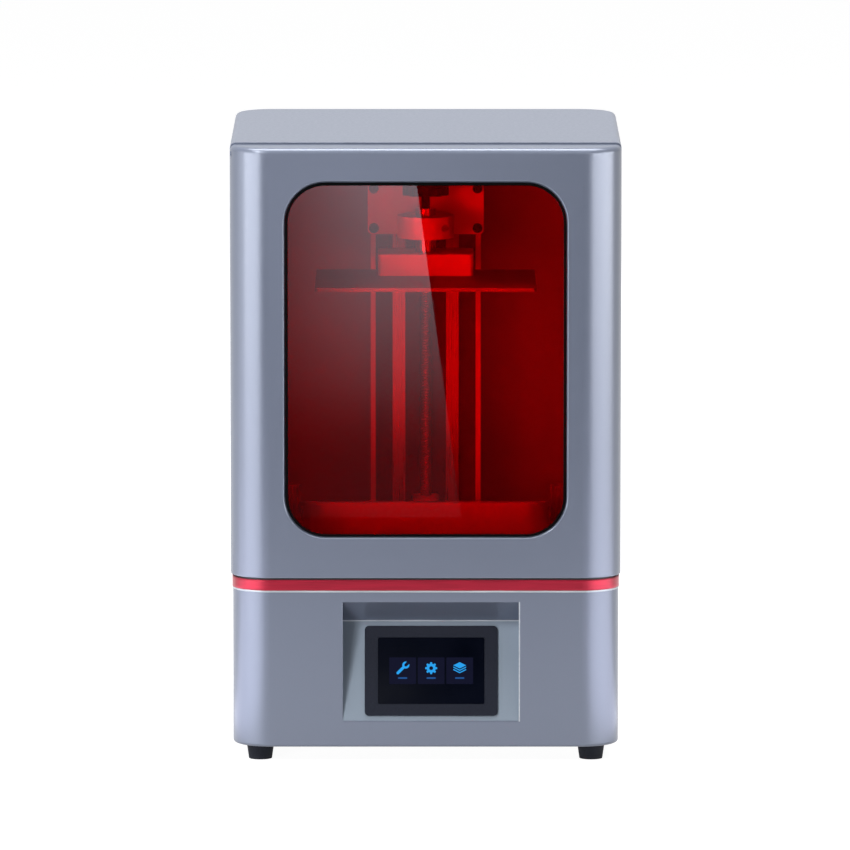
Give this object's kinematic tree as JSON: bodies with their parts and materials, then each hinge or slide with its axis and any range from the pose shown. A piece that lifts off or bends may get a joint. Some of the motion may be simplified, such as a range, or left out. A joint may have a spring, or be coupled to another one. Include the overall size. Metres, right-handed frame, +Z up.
{
  "type": "resin printer",
  "caption": "Desktop resin printer: grey rounded cabinet with a hinged red window door, red band, tilted touch screen in the base, vat, build platform and screw-driven column.",
  "frame": {"origin": "on the table, under the middle of the printer", "axes": "+Z up, -Y towards the front with the door and touch screen, +X to the right as seen from the front"},
  "size_m": [0.27, 0.26, 0.4283],
  "materials": {
    "casing_grey": "satin grey-blue paint",
    "accent_red": "semi-gloss red",
    "foot_rubber": "matt",
    "window_red": "clear red acrylic, polished",
    "gasket_black": "matt",
    "bezel_black": "fine texture",
    "display_glass": "polished cover glass",
    "dark_metal": "fine texture",
    "machined_aluminium": "bead blasted and anodised",
    "bright_steel": "ground",
    "knob_black": "moulded",
    "brass_nut": "turned",
    "release_film": "clear thin film",
    "board_green": "coated circuit board",
    "motor_black": "satin"
  },
  "bodies": {
    "frame": {"accent_band": "accent_red", "base_floor": "dark_metal", "base_housing": "casing_grey", "catch_magnet": "motor_black", "column_cap": "machined_aluminium", "column_foot": "machined_aluminium", "deck_plate": "dark_metal", "fan_frame": "bezel_black", "fan_grille": "bezel_black", "foot_front_left": "foot_rubber", "foot_front_right": "foot_rubber", "foot_rear_left": "foot_rubber", "foot_rear_right": "foot_rubber", "heat_sink": "machined_aluminium", "hinge_bracket": "bright_steel", "hinge_pin_lower": "bright_steel", "hinge_pin_upper": "bright_steel", "inlet_pins": "brass_nut", "main_board": "board_green", "masking_lcd": "display_glass", "power_inlet": "bezel_black", "power_supply": "motor_black", "screw_bearing": "bright_steel", "switch_frame": "bezel_black", "touch_bezel": "bezel_black", "touch_display": "display_glass", "upper_housing": "casing_grey", "usb_port": "bezel_black", "uv_led_board": "board_green", "uv_light_box": "machined_aluminium", "vat_body": "machined_aluminium", "vat_film": "release_film", "vat_film_frame": "machined_aluminium", "z_column": "machined_aluminium", "z_motor": "motor_black", "z_rail_left": "bright_steel", "z_rail_right": "bright_steel"},
    "door": {"front_door": "casing_grey", "window_gasket": "gasket_black", "door_window": "window_red", "door_catch": "bright_steel"},
    "carriage": {"carriage_plate": "machined_aluminium", "carriage_screws": "knob_black", "carriage_block_left": "bright_steel", "carriage_block_right": "bright_steel", "lead_nut": "brass_nut", "platform_arm": "machined_aluminium", "ball_stem": "bright_steel", "clamp_collar": "machined_aluminium", "platform_block": "machined_aluminium", "build_plate": "machined_aluminium"},
    "screw_drive": {"lead_screw": "bright_steel", "shaft_coupler": "machined_aluminium", "motor_shaft": "bright_steel"},
    "clamp_knob": {"platform_knob": "knob_black"},
    "vat_screw_left": {"vat_thumbscrew_left": "machined_aluminium"},
    "vat_screw_right": {"vat_thumbscrew_right": "machined_aluminium"},
    "fan": {"fan_rotor": "bezel_black"},
    "switch": {"power_switch": "bezel_black"}
  },
  "joints": [
    {"name": "door_swing", "type": "hinge", "parent": "frame", "child": "door", "pos_m": [-0.1305, -0.1075, 0.27], "axis": [0, 0, -1], "range_deg": [0, 95]},
    {"name": "carriage_slide", "type": "slide", "parent": "frame", "child": "carriage", "axis": [0, 0, 1], "range_m": [-0.1896, 0.008]},
    {"name": "lead_screw_turn", "type": "hinge", "parent": "frame", "child": "screw_drive", "pos_m": [0, 0.086, 0.27], "axis": [0, 0, 1], "continuous": true},
    {"name": "platform_knob_turn", "type": "hinge", "parent": "carriage", "child": "clamp_knob", "pos_m": [0, 0.024, 0.38], "axis": [0, 0, 1], "continuous": true},
    {"name": "vat_screw_left_turn", "type": "hinge", "parent": "frame", "child": "vat_screw_left", "pos_m": [-0.095, -0.012, 0.15], "axis": [0, 0, 1], "continuous": true},
    {"name": "vat_screw_right_turn", "type": "hinge", "parent": "frame", "child": "vat_screw_right", "pos_m": [0.095, -0.012, 0.15], "axis": [0, 0, 1], "continuous": true},
    {"name": "fan_spin", "type": "hinge", "parent": "frame", "child": "fan", "pos_m": [-0.06, 0.119, 0.0685], "axis": [0, 1, 0], "continuous": true},
    {"name": "power_switch_rock", "type": "hinge", "parent": "frame", "child": "switch", "pos_m": [0.04, 0.1245, 0.0485], "axis": [-1, 0, 0], "range_deg": [0, 14]}
  ],
  "couplings": [
    {"joint": "lead_screw_turn", "follows": "carriage_slide", "rad_per_m": 785.4}
  ]
}
